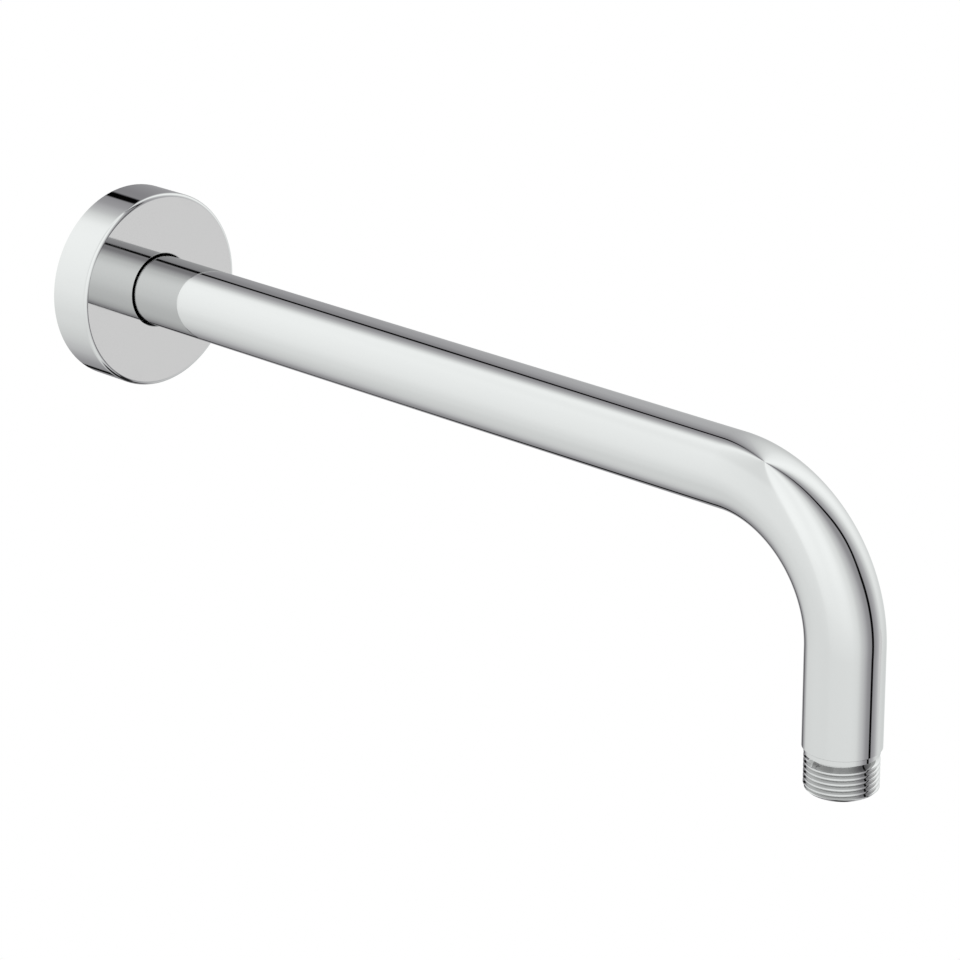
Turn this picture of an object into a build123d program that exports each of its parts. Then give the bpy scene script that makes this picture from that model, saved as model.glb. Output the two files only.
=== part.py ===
from build123d import *
import os

# Shower arm that comes out of a wall. Millimetres.
# The wall's surface is the plane Y = 0, the arm runs along -Y and its outlet points down, along -Z.
# The origin is on the arm's axis at the wall's surface.

# Arm tube, drawn brass with one bend
tube_diameter = 22.0
tube_wall = 1.5
reach = 290.0
bend_radius = 40.0
drop = 68.7

# Turned end pieces, brazed into the tube, each with a G 1/2 pipe thread
thread_diameter = 20.8
thread_lead_chamfer = 0.85
neck_depth = 1.9
neck_length = 1.0
neck_wall = 1.2
spigot_wall = 2.0
spigot_length = 12.0
braze_gap = 0.05
shoulder_height = 1.7
seam_chamfer = 0.15
edge_chamfer = 0.1
outlet_thread_length = 9.6
inlet_thread_length = 15.9
inlet_setback = 3.0

# Wall flange, a cup that slides on the tube
flange_diameter = 61.0
flange_depth = 15.1
flange_face = 3.0
flange_side = 2.0
flange_edge_rounding = 1.2
flange_back_chamfer = 0.3
flange_clearance = 0.55
hole_rounding = 0.3
hub_wall = 2.5
hub_depth = 8.0
inside_rounding = 1.5

# O-ring that grips the tube, in a groove of the flange's hub
ring_section = 1.9
ring_clearance = 0.05
groove_side_clearance = 0.25

# Radii and places that follow from the sizes above
tube_radius = tube_diameter / 2
tube_bore_radius = tube_radius - tube_wall
thread_radius = thread_diameter / 2
neck_radius = thread_radius - neck_depth
spigot_radius = tube_bore_radius - braze_gap
waterway_radius = min(spigot_radius - spigot_wall, neck_radius - neck_wall)
inlet_tube_end = inlet_setback + shoulder_height

flange_radius = flange_diameter / 2
flange_hole_radius = tube_radius + flange_clearance
ring_inner_radius = tube_radius + ring_clearance
ring_centre_radius = ring_inner_radius + ring_section / 2
groove_radius = ring_inner_radius + ring_section + ring_clearance
groove_width = ring_section + 2 * groove_side_clearance
hub_radius = groove_radius + hub_wall
hub_back = flange_depth - hub_depth
ring_height = flange_depth - hub_depth / 2


def turned(*corners):
    """A solid of revolution about Z. Each corner is its radius, its height and its rounding."""
    points = [(radius, height) for radius, height, rounding in corners]
    roundings = [rounding for radius, height, rounding in corners]
    outline = Plane.XZ * FilletPolyline(*points, radius=roundings, close=True)
    return revolve(make_face(outline.edges()), axis=Axis.Z)


def make_tube():
    """The bent tube, from its inlet end to its outlet end, with both outer edges broken at the seams."""
    inlet = (0, -inlet_tube_end, 0)
    corner = (0, -reach, 0)
    outlet = (0, -reach, -drop)
    path = FilletPolyline(inlet, corner, outlet, radius=bend_radius)
    start = Plane(origin=inlet, z_dir=(0, -1, 0))
    section = start * (Circle(tube_radius) - Circle(tube_bore_radius))
    tube = sweep(section, path=path)
    rims = tube.edges().filter_by(GeomType.CIRCLE)
    inlet_rim = rims.group_by(Axis.Y)[-1].sort_by(SortBy.RADIUS)[-1]
    outlet_rim = rims.group_by(Axis.Z)[0].sort_by(SortBy.RADIUS)[-1]
    return chamfer([inlet_rim, outlet_rim], seam_chamfer)


def make_nipple(thread_length):
    """A turned end piece. Height 0 is its seam with the tube's end, and the thread points up."""
    thread_start = shoulder_height + neck_length
    thread_end = thread_start + thread_length
    lead_radius = thread_radius - thread_lead_chamfer
    run_out_height = thread_start + (thread_radius - neck_radius) / 2
    return turned(
        (waterway_radius, -spigot_length, 0),
        (spigot_radius - seam_chamfer, -spigot_length, 0),
        (spigot_radius, seam_chamfer - spigot_length, 0),
        (spigot_radius, 0, 0),
        (thread_radius - seam_chamfer, 0, 0),
        (thread_radius, seam_chamfer, 0),
        (thread_radius, shoulder_height - edge_chamfer, 0),
        (thread_radius - edge_chamfer, shoulder_height, 0),
        (neck_radius, shoulder_height, 0),
        (neck_radius, thread_start, 0),
        (thread_radius, run_out_height, 0),
        (thread_radius, thread_end - thread_lead_chamfer, 0),
        (lead_radius, thread_end, 0),
        (waterway_radius, thread_end, 0),
    )


def make_flange():
    """The cup-shaped cover. Height 0 is the wall's surface, and the flat face is up."""
    inner_radius = flange_radius - flange_side
    ceiling = flange_depth - flange_face
    groove_low = ring_height - groove_width / 2
    groove_high = ring_height + groove_width / 2
    return turned(
        (inner_radius + flange_back_chamfer, 0, 0),
        (flange_radius - flange_back_chamfer, 0, 0),
        (flange_radius, flange_back_chamfer, 0),
        (flange_radius, flange_depth, flange_edge_rounding),
        (flange_hole_radius, flange_depth, hole_rounding),
        (flange_hole_radius, groove_high, 0),
        (groove_radius, groove_high, 0),
        (groove_radius, groove_low, 0),
        (flange_hole_radius, groove_low, 0),
        (flange_hole_radius, hub_back, hole_rounding),
        (hub_radius, hub_back, hole_rounding),
        (hub_radius, ceiling, inside_rounding),
        (inner_radius, ceiling, inside_rounding),
        (inner_radius, flange_back_chamfer, 0),
    )


def make_ring():
    """The O-ring, about Z, with its middle at its height above the wall's surface."""
    return Pos(0, 0, ring_height) * Torus(ring_centre_radius, ring_section / 2)


# Turns a piece that stands on the wall's surface so that its height runs along -Y
out_of_wall = Rot(90, 0, 0)
into_wall = Pos(0, -inlet_tube_end, 0) * Rot(-90, 0, 0)
down_at_outlet = Pos(0, -reach, -drop) * Rot(180, 0, 0)

pieces = {
    "arm_tube": make_tube(),
    "inlet_nipple": into_wall * make_nipple(inlet_thread_length),
    "outlet_nipple": down_at_outlet * make_nipple(outlet_thread_length),
    "wall_flange": out_of_wall * make_flange(),
    "flange_o_ring": out_of_wall * make_ring(),
}

os.makedirs("parts", exist_ok=True)
for name, piece in pieces.items():
    export_step(piece, f"parts/{name}.step")
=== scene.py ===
import bpy
import bmesh
import math
from mathutils import Matrix, Vector


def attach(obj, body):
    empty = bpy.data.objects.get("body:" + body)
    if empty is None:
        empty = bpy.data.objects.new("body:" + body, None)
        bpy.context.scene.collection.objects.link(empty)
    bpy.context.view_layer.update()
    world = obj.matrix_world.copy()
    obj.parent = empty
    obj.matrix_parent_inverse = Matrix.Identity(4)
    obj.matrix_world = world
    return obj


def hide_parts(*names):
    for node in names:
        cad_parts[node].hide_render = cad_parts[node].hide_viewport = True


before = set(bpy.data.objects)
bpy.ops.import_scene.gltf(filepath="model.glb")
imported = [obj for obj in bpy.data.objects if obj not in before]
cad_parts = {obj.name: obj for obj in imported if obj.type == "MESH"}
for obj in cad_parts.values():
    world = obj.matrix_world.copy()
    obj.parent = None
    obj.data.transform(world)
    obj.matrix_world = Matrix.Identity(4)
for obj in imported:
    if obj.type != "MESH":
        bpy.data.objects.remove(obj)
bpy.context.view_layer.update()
mm = 0.001
weldWithin = 0.001 * mm
pickWithin = 0.01 * mm
smoothAngle = math.radians(34)
print("frame loaded:", ", ".join(sorted(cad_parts)))


# sRGB hex to the linear colour that the sockets want
def hexToLinear(code):
    channels = [int(code[i:i + 2], 16) / 255 for i in (1, 3, 5)]
    linear = [c / 12.92 if c <= 0.04045 else ((c + 0.055) / 1.055) ** 2.4 for c in channels]
    return (*linear, 1.0)


# adds one node, sets it up and links whatever sockets it is given
def addNode(tree, kind, settings=None, inputs=None):
    node = tree.nodes.new(kind)
    for key, value in (settings or {}).items():
        setattr(node, key, value)
    for key, value in (inputs or {}).items():
        if isinstance(value, bpy.types.NodeSocket):
            tree.links.new(value, node.inputs[key])
        else:
            node.inputs[key].default_value = value
    return node


# a new material with an empty tree and its output node
def newMaterial(name):
    material = bpy.data.materials.new(name)
    material.use_nodes = True
    material.node_tree.nodes.clear()
    return material, material.node_tree, addNode(material.node_tree, "ShaderNodeOutputMaterial")


def objectPlace(tree):
    return addNode(tree, "ShaderNodeTexCoord").outputs["Object"]


def calculate(tree, operation, *values):
    return addNode(tree, "ShaderNodeMath", {"operation": operation}, dict(enumerate(values))).outputs[0]


def vectorStep(tree, operation, *values):
    return addNode(tree, "ShaderNodeVectorMath", {"operation": operation}, dict(enumerate(values))).outputs


# carries a value from one range to another and holds it at both ends
def mapRange(tree, value, start, end, low=0.0, high=1.0, style="LINEAR"):
    inputs = {"Value": value, "From Min": start, "From Max": end, "To Min": low, "To Max": high}
    return addNode(tree, "ShaderNodeMapRange", {"interpolation_type": style}, inputs).outputs[0]


def mixColours(tree, share, first, second):
    return addNode(tree, "ShaderNodeMix", {"data_type": "RGBA"},
                   {0: share, 6: hexToLinear(first), 7: hexToLinear(second)}).outputs[2]


# noise with features of about this size in millimetres
def addNoise(tree, size, detail, roughness=0.5):
    return addNode(tree, "ShaderNodeTexNoise", None,
                   {"Vector": objectPlace(tree), "Scale": 1 / (size * mm), "Detail": detail,
                    "Roughness": roughness}).outputs["Fac"]


# bump of this depth in millimetres
def addBump(tree, height, strength, depth):
    return addNode(tree, "ShaderNodeBump", None,
                   {"Height": height, "Strength": strength, "Distance": depth * mm}).outputs[0]


def addSurface(tree, out, kind, inputs):
    surface = addNode(tree, kind, None, inputs)
    tree.links.new(surface.outputs[0], out.inputs["Surface"])


# puts a ramp's stops in place, each a share of its length and a colour
def setStops(ramp, stops, interpolation):
    band = ramp.color_ramp
    band.interpolation = interpolation
    while len(band.elements) < len(stops):
        band.elements.new(1.0)
    for element, (position, colour) in zip(band.elements, stops):
        element.position = position
        element.color = colour


def clearSelection():
    active = bpy.context.object
    if active and active.mode != "OBJECT":
        bpy.ops.object.mode_set(mode="OBJECT")
    bpy.ops.object.select_all(action="DESELECT")


# camera, at the photo's long lens and viewing angle
photoView = {
    "lens": 140.07,
    "azimuth": -45.434,
    "elevation": 20.487,
    "roll": -0.381,
    "aim": (9.022, -145.0, -32.228),
    "distance": 1093.42,
}
turn = math.radians(photoView["azimuth"])
tip = math.radians(photoView["elevation"])
roll = math.radians(photoView["roll"])
backward = Vector((math.sin(turn) * math.cos(tip), -math.cos(turn) * math.cos(tip), math.sin(tip)))
level = Vector((math.cos(turn), math.sin(turn), 0))
rightward = level * math.cos(roll) + backward.cross(level) * math.sin(roll)
upward = backward.cross(rightward)
cameraPlace = Matrix((rightward, upward, backward)).transposed().to_4x4()
cameraPlace.translation = (Vector(photoView["aim"]) + backward * photoView["distance"]) * mm
bpy.ops.object.camera_add()
camera = bpy.context.object
camera.name = "photoCamera"
camera.data.lens = photoView["lens"]
camera.data.sensor_width = 36.0
camera.data.clip_start = 0.01
camera.data.clip_end = 100.0
camera.matrix_world = cameraPlace
bpy.context.scene.camera = camera
bpy.context.scene.view_settings.view_transform = "Standard"
print("camera placed")


# studio: a round light tent of two sheets, with a black seam on each side where they meet
# azimuth turns from +Y to +X and elevation rises from level, both in degrees
# a grey is what polished chrome shows there, and gain makes up for what the chrome takes away
tent = {
    "radius": 1.4,
    "gain": 1.5,
    "sheet": (
        (-180, 190), (-171, 213), (-159, 229), (-147, 242), (-128, 239), (-106, 246), (-99, 226), (-69, 227),
        (-45, 236), (-21, 240), (-9, 231), (3, 200), (15, 165), (23, 147), (31, 139), (38, 138), (44, 155),
        (51, 170), (63, 193), (81, 225), (93, 239), (103, 245), (113, 239), (123, 220), (135, 186),
        (145, 155), (155, 145), (163, 141), (170, 161), (180, 190),
    ),
    "ceiling": ((-42, 209), (-30, 214), (-20, 219), (-7, 229), (8, 238), (20, 245), (35, 249), (90, 244)),
    "blend": 0.2,
    "skirt": (
        (-180, 198), (-160, 212), (-138, 217), (-105, 213), (-90, 208), (-54, 206), (-32, 205), (-14, 195),
        (0, 181), (10, 164), (18, 153), (27, 145), (45, 145), (103, 200), (150, 160), (180, 198),
    ),
    "skirtTop": -30,
    "skirtFull": -46,
    "spotAzimuth": 145,
    "spotElevation": -78,
    "spotInner": 15,
    "spotOuter": 27,
    "spotGlow": 0.012,
    "shaded": ((-104, 0), (-98, 255), (-45, 255), (-12, 0)),
    "shadeFrom": 36,
    "shadeTo": 54,
    "shadeDepth": 0.08,
    "darkTint": "#fbfaff",
    "lightTint": "#fcfffe",
    "tintFrom": 0.25,
    "tintTo": 0.62,
    "seams": (
        {"azimuth": 31, "inner": 2.0, "outer": 4.0,
         "lean": ((-44, 5.5), (-35, -2.2), (34, -1.6), (43, 0.0))},
        {"azimuth": 155, "inner": 2.3, "outer": 4.2,
         "lean": ((-34, -5.0), (-25, 0.0), (12, 0.0), (31, -4.6), (33, -4.6), (54, 0.0))},
    ),
    "seamGlow": 0.005,
    "footStart": -33,
    "footEnd": -44,
    "footSpread": 0.8,
    "closeStart": -52,
    "closeEnd": -64,
}


# both angles run from 0 to 1 in the tent's nodes
def azimuthShare(degrees):
    return (degrees + 180) / 360


def elevationShare(degrees):
    return (degrees + 90) / 180


def addGreyRamp(tree, along, stops, interpolation="CARDINAL"):
    ramp = addNode(tree, "ShaderNodeValToRGB", None, {"Fac": along})
    setStops(ramp, [(share, hexToLinear("#" + f"{grey:02x}" * 3)) for share, grey in stops], interpolation)
    return ramp.outputs["Color"]


tentCloth, tree, out = newMaterial("lightTentCloth")
direction = vectorStep(tree, "NORMALIZE", objectPlace(tree))["Vector"]
axes = addNode(tree, "ShaderNodeSeparateXYZ", None, {0: direction}).outputs
azimuth = calculate(tree, "ARCTAN2", axes["X"], axes["Y"])
azimuth = calculate(tree, "MULTIPLY_ADD", azimuth, 0.5 / math.pi, 0.5)
elevation = calculate(tree, "ARCSINE", axes["Z"])
elevation = calculate(tree, "MULTIPLY_ADD", elevation, 1 / math.pi, 0.5)
sheet = addGreyRamp(tree, azimuth, [(azimuthShare(a), grey) for a, grey in tent["sheet"]])
ceiling = addGreyRamp(tree, elevation, [(elevationShare(e), grey) for e, grey in tent["ceiling"]])
glow = calculate(tree, "SMOOTH_MIN", sheet, ceiling, tent["blend"])

# under the sheets lies a skirt lit off the floor, with a dark spot in it where the stand goes through
skirt = addGreyRamp(tree, azimuth, [(azimuthShare(a), grey) for a, grey in tent["skirt"]])
under = mapRange(tree, elevation, elevationShare(tent["skirtFull"]), elevationShare(tent["skirtTop"]),
                 1.0, 0.0, "SMOOTHSTEP")
glow = addNode(tree, "ShaderNodeMix", {"data_type": "FLOAT"}, {0: under, 2: glow, 3: skirt}).outputs[0]
spotTurn = math.radians(tent["spotAzimuth"])
spotTip = math.radians(tent["spotElevation"])
spot = (math.sin(spotTurn) * math.cos(spotTip), math.cos(spotTurn) * math.cos(spotTip), math.sin(spotTip))
nearSpot = vectorStep(tree, "DOT_PRODUCT", direction, spot)["Value"]
spotEdges = [math.cos(math.radians(tent[edge])) for edge in ("spotOuter", "spotInner")]
darkened = mapRange(tree, nearSpot, *spotEdges, 1.0, tent["spotGlow"], "SMOOTHSTEP")
glow = calculate(tree, "MULTIPLY", glow, darkened)

# the top of the sheet towards the wall gets less light
shaded = addGreyRamp(tree, azimuth, [(azimuthShare(a), grey) for a, grey in tent["shaded"]], "EASE")
atTop = mapRange(tree, elevation, elevationShare(tent["shadeFrom"]), elevationShare(tent["shadeTo"]),
                 0.0, tent["shadeDepth"], "SMOOTHSTEP")
unshaded = calculate(tree, "SUBTRACT", 1.0, calculate(tree, "MULTIPLY", shaded, atTop))
glow = calculate(tree, "MULTIPLY", glow, unshaded)
lit = mapRange(tree, glow, tent["tintFrom"], tent["tintTo"])
tint = mixColours(tree, lit, tent["darkTint"], tent["lightTint"])

# each seam leans and widens towards its foot, and closes at the floor
foot = mapRange(tree, elevation, elevationShare(tent["footStart"]), elevationShare(tent["footEnd"]))
spread = calculate(tree, "MULTIPLY_ADD", foot, tent["footSpread"], 1.0)
closed = mapRange(tree, elevation, elevationShare(tent["closeEnd"]), elevationShare(tent["closeStart"]),
                  1.0, 0.0, "SMOOTHSTEP")
for seam in tent["seams"]:
    middles = [(elevationShare(e), azimuthShare(seam["azimuth"] + aside)) for e, aside in seam["lean"]]
    line = addNode(tree, "ShaderNodeValToRGB", None, {"Fac": elevation})
    setStops(line, [(share, (middle, middle, middle, 1.0)) for share, middle in middles], "EASE")
    away = calculate(tree, "ABSOLUTE", calculate(tree, "SUBTRACT", azimuth, line.outputs["Color"]))
    away = calculate(tree, "DIVIDE", away, spread)
    clear = mapRange(tree, away, seam["inner"] / 360, seam["outer"] / 360,
                     tent["seamGlow"], 1.0, "SMOOTHSTEP")
    glow = calculate(tree, "MULTIPLY", glow, calculate(tree, "MAXIMUM", clear, closed))
glow = calculate(tree, "MULTIPLY", glow, tent["gain"])
addSurface(tree, out, "ShaderNodeEmission", {"Color": tint, "Strength": glow})

clearSelection()
bpy.ops.mesh.primitive_uv_sphere_add(segments=96, ring_count=48, radius=tent["radius"])
lightTent = bpy.context.object
lightTent.name = "lightTent"
bpy.ops.object.shade_smooth()
lightTent.data.materials.append(tentCloth)
lightTent.visible_camera = False

# a small round grey card, where the flange's flat face mirrors it to the camera
card = {
    "mirror": (0, -0.0151, 0),
    "toward": (0.617, -0.727, -0.300),
    "away": 0.65,
    "radius": 0.054,
    "sides": 64,
    "grey": "#cacaca",
}
cardPaper, tree, out = newMaterial("greyCardPaper")
addSurface(tree, out, "ShaderNodeEmission", {"Color": hexToLinear(card["grey"]), "Strength": tent["gain"]})
clearSelection()
outward = Vector(card["toward"]).normalized()
bpy.ops.mesh.primitive_circle_add(vertices=card["sides"], radius=card["radius"], fill_type="NGON",
                                  location=Vector(card["mirror"]) + outward * card["away"],
                                  rotation=outward.to_track_quat("Z", "Y").to_euler())
greyCard = bpy.context.object
greyCard.name = "greyCard"
greyCard.data.materials.append(cardPaper)
greyCard.visible_camera = False

# pale floor under the tent, white where the camera or a mirror looks straight at it
ground = {"size": 30, "height": -1.6, "paint": "#f4f4f4"}
floorPaint, tree, out = newMaterial("paleFloorPaint")
path = addNode(tree, "ShaderNodeLightPath").outputs
seen = calculate(tree, "MAXIMUM", path["Is Camera Ray"], path["Is Glossy Ray"])
seen = calculate(tree, "MAXIMUM", seen, path["Is Transmission Ray"])
matt = addNode(tree, "ShaderNodeBsdfDiffuse", None, {"Color": hexToLinear(ground["paint"])}).outputs[0]
white = addNode(tree, "ShaderNodeEmission", None, {"Color": hexToLinear("#ffffff")}).outputs[0]
addSurface(tree, out, "ShaderNodeMixShader", {0: seen, 1: matt, 2: white})
clearSelection()
bpy.ops.mesh.primitive_plane_add(size=ground["size"], location=(0, 0, ground["height"]))
floor = bpy.context.object
floor.name = "floor"
floor.data.materials.append(floorPaint)

world = bpy.data.worlds.new("whiteRoom")
world.use_nodes = True
world.node_tree.nodes["Background"].inputs["Color"].default_value = (1, 1, 1, 1)
world.node_tree.nodes["Background"].inputs["Strength"].default_value = 1.0
bpy.context.scene.world = world
print("studio ready")


chrome = {
    "plate": "#d5d5d5",
    # a greyer base colour painted into the thread's grooves as shade, and the radii where it starts and ends
    "grooveShadeGrey": "#c9c9c9",
    "grooveShadeRadius": 9.5,
    "unshadedRadius": 10.3,
    "edgeTint": "#e6e6e6",
    "smooth": 0.03,
    "dull": 0.06,
    "toolMark": 0.12,
}


# polished chrome plate on brass: a neutral mirror, with a faint haze left by the buffing wheel
def makePolishedChrome():
    material, tree, out = newMaterial("polishedChromePlate")
    haze = addNoise(tree, 6, 4.0, 0.6)
    dull = mapRange(tree, haze, 0.35, 0.7, chrome["smooth"], chrome["dull"])
    addSurface(tree, out, "ShaderNodeBsdfPrincipled",
               {"Base Color": hexToLinear(chrome["plate"]), "Specular Tint": hexToLinear(chrome["edgeTint"]),
                "Metallic": 1.0, "Roughness": dull})
    return material


# chrome plate on turned brass: still bright, with fine tool marks round the axis
# painted shade: the base colour turns greyer down in the grooves of the thread
def makeTurnedChrome(name, axis, onAxis, across):
    material, tree, out = newMaterial(name)
    place = objectPlace(tree)
    fromAxis = vectorStep(tree, "SUBTRACT", place, onAxis)["Vector"]
    fromAxis = vectorStep(tree, "MULTIPLY", fromAxis, across)["Vector"]
    radius = vectorStep(tree, "LENGTH", fromAxis)["Value"]
    # painted shade: greyer below the crests, towards the root of the thread
    full = mapRange(tree, radius, chrome["grooveShadeRadius"] * mm, chrome["unshadedRadius"] * mm, style="SMOOTHSTEP")
    plate = mixColours(tree, full, chrome["grooveShadeGrey"], chrome["plate"])
    markScale = 1 / (20 * chrome["toolMark"] * mm)   # the wave node works at 20 times its scale
    marks = addNode(tree, "ShaderNodeTexWave", {"wave_type": "BANDS", "bands_direction": axis},
                    {"Vector": place, "Scale": markScale, "Distortion": 0.4, "Detail": 1.0}).outputs["Fac"]
    dull = mapRange(tree, marks, 0.0, 1.0, chrome["smooth"], chrome["dull"])
    addSurface(tree, out, "ShaderNodeBsdfPrincipled",
               {"Base Color": plate, "Specular Tint": hexToLinear(chrome["edgeTint"]), "Metallic": 1.0,
                "Roughness": dull, "Normal": addBump(tree, marks, 0.04, 0.02)})
    return material


# thin plate on the unpolished inside of the flange: a soft grey sheen with cast grain
def makeSatinPlate():
    material, tree, out = newMaterial("satinPlate")
    grain = addNoise(tree, 0.8, 3.0)
    dull = mapRange(tree, grain, 0.0, 1.0, 0.28, 0.45)
    addSurface(tree, out, "ShaderNodeBsdfPrincipled",
               {"Base Color": hexToLinear("#cfcfce"), "Metallic": 1.0, "Roughness": dull,
                "Normal": addBump(tree, grain, 0.15, 0.05)})
    return material


# bare brass inside the waterway, where no plate reaches: warm, dull and unevenly tarnished
def makeBareBrass():
    material, tree, out = newMaterial("bareDrawnBrass")
    patch = addNoise(tree, 3, 4.0)
    tone = mixColours(tree, patch, "#a8854a", "#c7a465")
    dull = mapRange(tree, patch, 0.0, 1.0, 0.3, 0.48)
    addSurface(tree, out, "ShaderNodeBsdfPrincipled",
               {"Base Color": tone, "Metallic": 1.0, "Roughness": dull})
    return material


# moulded black rubber: near black and matt, with a fine grain
def makeSealRubber():
    material, tree, out = newMaterial("mouldedSealRubber")
    grain = addNoise(tree, 0.3, 2.0)
    tone = mixColours(tree, grain, "#0c0c0c", "#161616")
    dull = mapRange(tree, grain, 0.0, 1.0, 0.5, 0.65)
    addSurface(tree, out, "ShaderNodeBsdfPrincipled",
               {"Base Color": tone, "Roughness": dull, "Normal": addBump(tree, grain, 0.1, 0.02)})
    return material


polishedChrome = makePolishedChrome()
satinPlate = makeSatinPlate()
bareBrass = makeBareBrass()
sealRubber = makeSealRubber()
print("materials made")


def extrudeBy(x, y, z):
    bpy.ops.mesh.extrude_region_move(TRANSFORM_OT_translate={"value": (x * mm, y * mm, z * mm)})


# a circle on the axis, extruded and scaled from ring to ring as a lathe would cut it, then closed on itself
def turnOnLathe(name, rings, sides):
    clearSelection()
    radius, height = rings[0]
    bpy.ops.mesh.primitive_circle_add(vertices=sides, radius=radius * mm, fill_type="NOTHING",
                                      location=(0, 0, height * mm))
    piece = bpy.context.object
    piece.name = name
    bpy.ops.object.transform_apply(location=True, rotation=True, scale=True)
    bpy.ops.object.mode_set(mode="EDIT")
    bpy.ops.mesh.select_all(action="SELECT")
    for (fromRadius, fromHeight), (toRadius, toHeight) in zip(rings, rings[1:]):
        extrudeBy(0, 0, toHeight - fromHeight)
        ratio = toRadius / fromRadius
        bpy.ops.transform.resize(value=(ratio, ratio, 1), center_override=(0, 0, toHeight * mm))
    bpy.ops.mesh.select_mode(type="EDGE")
    bpy.ops.mesh.select_all(action="DESELECT")
    bpy.ops.mesh.select_non_manifold()
    bpy.ops.mesh.bridge_edge_loops()
    bpy.ops.mesh.select_all(action="SELECT")
    bpy.ops.mesh.normals_make_consistent(inside=False)
    bpy.ops.mesh.select_all(action="DESELECT")
    return piece


# rounds the edge that runs round a lathe piece at this radius and height
def roundRing(piece, radius, height, size, segments):
    mesh = bmesh.from_edit_mesh(piece.data)
    for edge in mesh.edges:
        offsets = [(math.hypot(v.co.x, v.co.y) - radius * mm, v.co.z - height * mm) for v in edge.verts]
        edge.select_set(all(abs(r) < pickWithin and abs(h) < pickWithin for r, h in offsets))
    bmesh.update_edit_mesh(piece.data)
    bpy.ops.mesh.bevel(offset=size * mm, segments=segments, profile=0.5, affect="EDGES", clamp_overlap=False)
    bpy.ops.mesh.select_all(action="DESELECT")


# smooth shading with the corners kept sharp, and flat faces kept flat
def shadePiece(piece):
    bpy.ops.object.shade_smooth_by_angle(angle=smoothAngle)
    even = piece.modifiers.new("evenNormals", "WEIGHTED_NORMAL")
    even.keep_sharp = True
    bpy.ops.object.modifier_apply(modifier=even.name)


# turns a lathe piece into place and leaves its place in its mesh
def placePiece(piece, turnX, location):
    bpy.ops.object.mode_set(mode="OBJECT")
    piece.rotation_euler = (math.radians(turnX), 0, 0)
    piece.location = Vector(location) * mm
    bpy.ops.object.transform_apply(location=True, rotation=True, scale=True)
    shadePiece(piece)


# arm tube: one circle run out from the wall, round the bend and down
tube = {
    "radius": 11.0,
    "wall": 1.5,
    "inletEnd": -4.7,
    "reach": 290.0,
    "bendRadius": 40.0,
    "outletEnd": -68.7,
    "seamChamfer": 0.15,
    "sides": 160,
    "bendSteps": 80,
    "ringInset": 2.0,
}
bendStart = tube["bendRadius"] - tube["reach"]
bendEnd = -tube["bendRadius"]
inset = tube["ringInset"]
runStops = [tube["inletEnd"], tube["inletEnd"] - inset, bendStart + inset, bendStart]
dropStops = [bendEnd, bendEnd - inset, tube["outletEnd"] + inset, tube["outletEnd"]]
clearSelection()
bpy.ops.mesh.primitive_circle_add(vertices=tube["sides"], radius=tube["radius"] * mm, fill_type="NOTHING",
                                  location=(0, tube["inletEnd"] * mm, 0), rotation=(math.radians(90), 0, 0))
chromeTube = bpy.context.object
chromeTube.name = "chromeTube"
bpy.ops.object.transform_apply(location=True, rotation=True, scale=True)
chromeTube.data.materials.append(polishedChrome)
chromeTube.data.materials.append(bareBrass)
bpy.ops.object.mode_set(mode="EDIT")
bpy.ops.mesh.select_all(action="SELECT")
for here, there in zip(runStops, runStops[1:]):
    extrudeBy(0, there - here, 0)
bpy.ops.mesh.spin(steps=tube["bendSteps"], angle=math.radians(-90), axis=(1, 0, 0),
                  center=(0, bendStart * mm, bendEnd * mm))
for here, there in zip(dropStops, dropStops[1:]):
    extrudeBy(0, 0, there - here)
bpy.ops.mesh.select_all(action="SELECT")
bpy.ops.mesh.remove_doubles(threshold=weldWithin)
bpy.ops.mesh.normals_make_consistent(inside=False)
bpy.ops.object.mode_set(mode="OBJECT")
wall = chromeTube.modifiers.new("tubeWall", "SOLIDIFY")
wall.thickness = tube["wall"] * mm
wall.offset = -1
wall.material_offset = 1
bpy.ops.object.modifier_apply(modifier=wall.name)


# whether a point of the tube is on the outer rim of either end
def onOuterRim(v):
    atInlet = abs(v.co.y - tube["inletEnd"] * mm) < pickWithin
    atOutlet = abs(v.co.z - tube["outletEnd"] * mm) < pickWithin
    aside = v.co.z if atInlet else v.co.y + tube["reach"] * mm
    return (atInlet or atOutlet) and math.hypot(v.co.x, aside) > (tube["radius"] - tube["wall"] / 2) * mm


bpy.ops.object.mode_set(mode="EDIT")
bpy.ops.mesh.select_mode(type="EDGE")
bpy.ops.mesh.select_all(action="DESELECT")
mesh = bmesh.from_edit_mesh(chromeTube.data)
for edge in mesh.edges:
    if all(onOuterRim(v) for v in edge.verts):
        edge.select_set(True)
bmesh.update_edit_mesh(chromeTube.data)
bpy.ops.mesh.bevel(offset=tube["seamChamfer"] * mm, segments=1, affect="EDGES", clamp_overlap=False)
bpy.ops.object.mode_set(mode="OBJECT")
shadePiece(chromeTube)
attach(chromeTube, "arm")
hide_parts("arm_tube")
print("tube bent:", len(chromeTube.data.polygons), "faces")


# threaded end pieces, turned with a shoulder under the tube's end, a relief neck and a right-hand thread
# crests are 1.53 mm apart as the photo shows them, a little closer than the 1.81 mm of a G 1/2 thread
nipple = {
    "bore": 7.3,
    "spigot": 9.45,
    "spigotLength": 12.0,
    "chamfer": 0.15,
    "edge": 0.1,
    "shoulderHeight": 1.7,
    "neck": 8.5,
    "neckLength": 1.0,
    "crest": 10.4,
    "crestWidth": 0.5,
    "crestRound": 0.04,
    "flankAngle": 27.5,
    "pitch": 1.53,
    "firstCrest": 1.06,
    "leadChamfer": 0.85,
    "flankRows": 3,
    "crestRows": 4,
    "turnsHidden": 2.5,
    "sides": 192,
    "outletLength": 9.6,
    "outletStart": 108,
    "inletLength": 15.9,
    "inletStart": 77,
}
flank = math.tan(math.radians(nipple["flankAngle"]))
firstCrest = nipple["shoulderHeight"] + nipple["firstCrest"]


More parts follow.
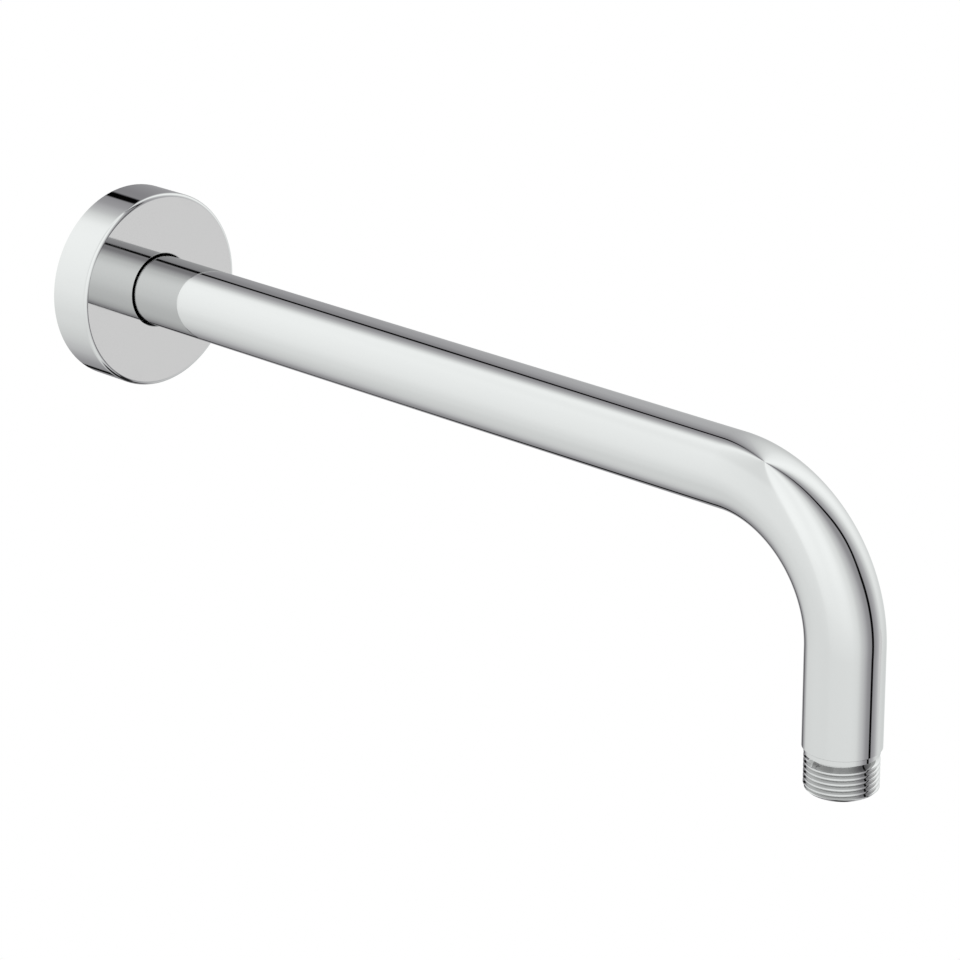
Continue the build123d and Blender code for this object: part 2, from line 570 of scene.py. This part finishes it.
# a thread point's radius: the nearest ridge's crest or flank, the neck, or the lead chamfer
# the ridge begins at firstTurn, a full ridge from there on, and a point just there counts as past it
def threadRadius(angle, height, firstTurn, threadEnd):
    past = (angle / (2 * math.pi) - firstTurn + 1e-5) % 1.0
    lowest = firstCrest + nipple["pitch"] * past
    nearest = lowest + nipple["pitch"] * max(round((height - lowest) / nipple["pitch"]), 0)
    half = nipple["crestWidth"] / 2
    onCrest = min(abs(height - nearest) / half, 1)
    onFlank = max(abs(height - nearest) - half, 0)
    ridge = nipple["crest"] - nipple["crestRound"] * onCrest ** 2 - onFlank / flank
    lead = nipple["crest"] - nipple["leadChamfer"] + threadEnd - height
    return min(max(ridge, nipple["neck"]), lead)


# moves a point along its own radius, out or in to the thread, and keeps it between the shoulder and the end
def moveToThread(v, firstTurn, threadEnd):
    angle = math.atan2(v.co.y, v.co.x)
    height = min(max(v.co.z / mm, nipple["shoulderHeight"]), threadEnd)
    radius = threadRadius(angle, height, firstTurn, threadEnd)
    v.co = (radius * mm * math.cos(angle), radius * mm * math.sin(angle), height * mm)


def onNeck(v):
    return abs(math.hypot(v.co.x, v.co.y) - nipple["neck"] * mm) < pickWithin


# one ridge's height as a line of points, wound up the piece by a screw from well below the shoulder
def windThread(name, firstTurn, threadEnd):
    clearSelection()
    startAngle = 2 * math.pi * firstTurn
    bottom = firstCrest - nipple["turnsHidden"] * nipple["pitch"]
    startX = nipple["neck"] * mm * math.cos(startAngle)
    startY = nipple["neck"] * mm * math.sin(startAngle)
    bpy.ops.mesh.primitive_plane_add(size=mm, location=(startX, startY, bottom * mm))
    thread = bpy.context.object
    thread.name = name + "Thread"
    bpy.ops.object.transform_apply(location=True, rotation=True, scale=True)
    bpy.ops.object.mode_set(mode="EDIT")
    bpy.ops.mesh.select_mode(type="VERT")
    bpy.ops.mesh.select_all(action="SELECT")
    bpy.ops.mesh.merge(type="CENTER")   # one point of the plane is left
    flankRow = (nipple["pitch"] - nipple["crestWidth"]) / 2 / nipple["flankRows"]
    crestRow = nipple["crestWidth"] / nipple["crestRows"]
    flankSteps = [flankRow] * nipple["flankRows"]
    for step in flankSteps + [crestRow] * nipple["crestRows"] + flankSteps:
        extrudeBy(0, 0, step)
    bpy.ops.object.mode_set(mode="OBJECT")
    wind = thread.modifiers.new("wind", "SCREW")
    wind.screw_offset = nipple["pitch"] * mm
    wind.iterations = math.ceil((threadEnd - bottom) / nipple["pitch"]) + 1
    wind.steps = nipple["sides"]
    wind.render_steps = nipple["sides"]
    bpy.ops.object.modifier_apply(modifier=wind.name)
    bpy.ops.object.mode_set(mode="EDIT")
    bpy.ops.mesh.select_all(action="SELECT")
    bpy.ops.mesh.remove_doubles(threshold=weldWithin)
    bpy.ops.mesh.bisect(plane_co=(0, 0, (threadEnd - nipple["leadChamfer"]) * mm), plane_no=(0, 0, 1),
                        threshold=weldWithin)
    mesh = bmesh.from_edit_mesh(thread.data)
    for v in mesh.verts:
        moveToThread(v, firstTurn, threadEnd)
    bmesh.update_edit_mesh(thread.data)
    bpy.ops.object.mode_set(mode="OBJECT")
    return thread


# startSide is the one of the sides at which the ridge begins
def makeNipple(name, threadLength, startSide, turnedChrome):
    shoulder = nipple["shoulderHeight"]
    firstTurn = startSide / nipple["sides"]
    threadEnd = shoulder + nipple["neckLength"] + threadLength
    thread = windThread(name, firstTurn, threadEnd)
    piece = turnOnLathe(name, [
        (nipple["bore"], -nipple["spigotLength"]),
        (nipple["spigot"] - nipple["chamfer"], -nipple["spigotLength"]),
        (nipple["spigot"], nipple["chamfer"] - nipple["spigotLength"]),
        (nipple["spigot"], 0),
        (nipple["crest"] - nipple["chamfer"], 0),
        (nipple["crest"], nipple["chamfer"]),
        (nipple["crest"], shoulder - nipple["edge"]),
        (nipple["crest"] - nipple["edge"], shoulder),
        (nipple["neck"], shoulder),
        (nipple["neck"], threadEnd),
        (nipple["bore"], threadEnd),
    ], nipple["sides"])
    piece.data.materials.append(turnedChrome)
    piece.data.materials.append(bareBrass)

    # the plain neck comes off, and its two rims go out to where the thread begins and ends
    mesh = bmesh.from_edit_mesh(piece.data)
    for face in mesh.faces:
        if all(onNeck(v) for v in face.verts):
            face.select_set(True)
    bmesh.update_edit_mesh(piece.data)
    bpy.ops.mesh.delete(type="FACE")
    mesh = bmesh.from_edit_mesh(piece.data)
    for v in mesh.verts:
        if onNeck(v):
            moveToThread(v, firstTurn, threadEnd)
    bmesh.update_edit_mesh(piece.data)
    bpy.ops.object.mode_set(mode="OBJECT")
    thread.select_set(True)
    bpy.ops.object.join()
    bpy.ops.object.mode_set(mode="EDIT")
    bpy.ops.mesh.select_all(action="SELECT")
    bpy.ops.mesh.remove_doubles(threshold=2 * weldWithin)
    bpy.ops.mesh.normals_make_consistent(inside=False)
    bpy.ops.object.mode_set(mode="OBJECT")
    for face in piece.data.polygons:
        inBore = math.hypot(face.center.x, face.center.y) < nipple["bore"] * mm + pickWithin
        face.material_index = 1 if inBore else 0
    return piece


outletChrome = makeTurnedChrome("turnedChromeOutlet", "Z", (0, -tube["reach"] * mm, 0), (1, 1, 0))
outletNipple = makeNipple("outletNipple", nipple["outletLength"], nipple["outletStart"], outletChrome)
placePiece(outletNipple, 180, (0, -tube["reach"], tube["outletEnd"]))
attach(outletNipple, "arm")
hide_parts("outlet_nipple")

inletChrome = makeTurnedChrome("turnedChromeInlet", "Y", (0, 0, 0), (1, 0, 1))
inletNipple = makeNipple("inletNipple", nipple["inletLength"], nipple["inletStart"], inletChrome)
placePiece(inletNipple, -90, (0, tube["inletEnd"], 0))
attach(inletNipple, "arm")
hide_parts("inlet_nipple")
print("threads cut:", len(outletNipple.data.polygons), "and", len(inletNipple.data.polygons), "faces")


# wall flange: a turned cup with a flat face, and a hub with a groove for the seal
flange = {
    "radius": 30.5,
    "depth": 15.1,
    "face": 3.0,
    "side": 2.0,
    "edgeRounding": 1.2,
    "backChamfer": 0.3,
    "hole": 11.55,
    "holeRounding": 0.3,
    "groove": 13.0,
    "grooveWidth": 2.4,
    "hub": 15.5,
    "hubDepth": 8.0,
    "insideRounding": 1.5,
    "satinMargin": 0.1,
    "sides": 256,
}
inner = flange["radius"] - flange["side"]
faceBack = flange["depth"] - flange["face"]
hubBack = flange["depth"] - flange["hubDepth"]
grooveMiddle = flange["depth"] - flange["hubDepth"] / 2
grooveLow = grooveMiddle - flange["grooveWidth"] / 2
grooveHigh = grooveMiddle + flange["grooveWidth"] / 2
wallFlange = turnOnLathe("wallFlange", [
    (inner + flange["backChamfer"], 0),
    (flange["radius"] - flange["backChamfer"], 0),
    (flange["radius"], flange["backChamfer"]),
    (flange["radius"], flange["depth"]),
    (flange["hole"], flange["depth"]),
    (flange["hole"], grooveHigh),
    (flange["groove"], grooveHigh),
    (flange["groove"], grooveLow),
    (flange["hole"], grooveLow),
    (flange["hole"], hubBack),
    (flange["hub"], hubBack),
    (flange["hub"], faceBack),
    (inner, faceBack),
    (inner, flange["backChamfer"]),
], flange["sides"])
wallFlange.data.materials.append(polishedChrome)
wallFlange.data.materials.append(satinPlate)
roundRing(wallFlange, flange["radius"], flange["depth"], flange["edgeRounding"], 8)
roundRing(wallFlange, flange["hole"], flange["depth"], flange["holeRounding"], 6)
roundRing(wallFlange, flange["hole"], hubBack, flange["holeRounding"], 4)
roundRing(wallFlange, flange["hub"], hubBack, flange["holeRounding"], 4)
roundRing(wallFlange, flange["hub"], faceBack, flange["insideRounding"], 6)
roundRing(wallFlange, inner, faceBack, flange["insideRounding"], 6)
bpy.ops.object.mode_set(mode="OBJECT")
satinRadius = (inner + flange["satinMargin"]) * mm
satinHeight = (faceBack + flange["satinMargin"]) * mm
for face in wallFlange.data.polygons:
    inside = math.hypot(face.center.x, face.center.y) < satinRadius and face.center.z < satinHeight
    face.material_index = 1 if inside else 0
placePiece(wallFlange, 90, (0, 0, 0))
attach(wallFlange, "flange")
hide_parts("wall_flange")
print("flange turned:", len(wallFlange.data.polygons), "faces")


# the seal keeps its CAD shape
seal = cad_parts["flange_o_ring"]
seal.data.materials.clear()
seal.data.materials.append(sealRubber)
print("seal dressed")
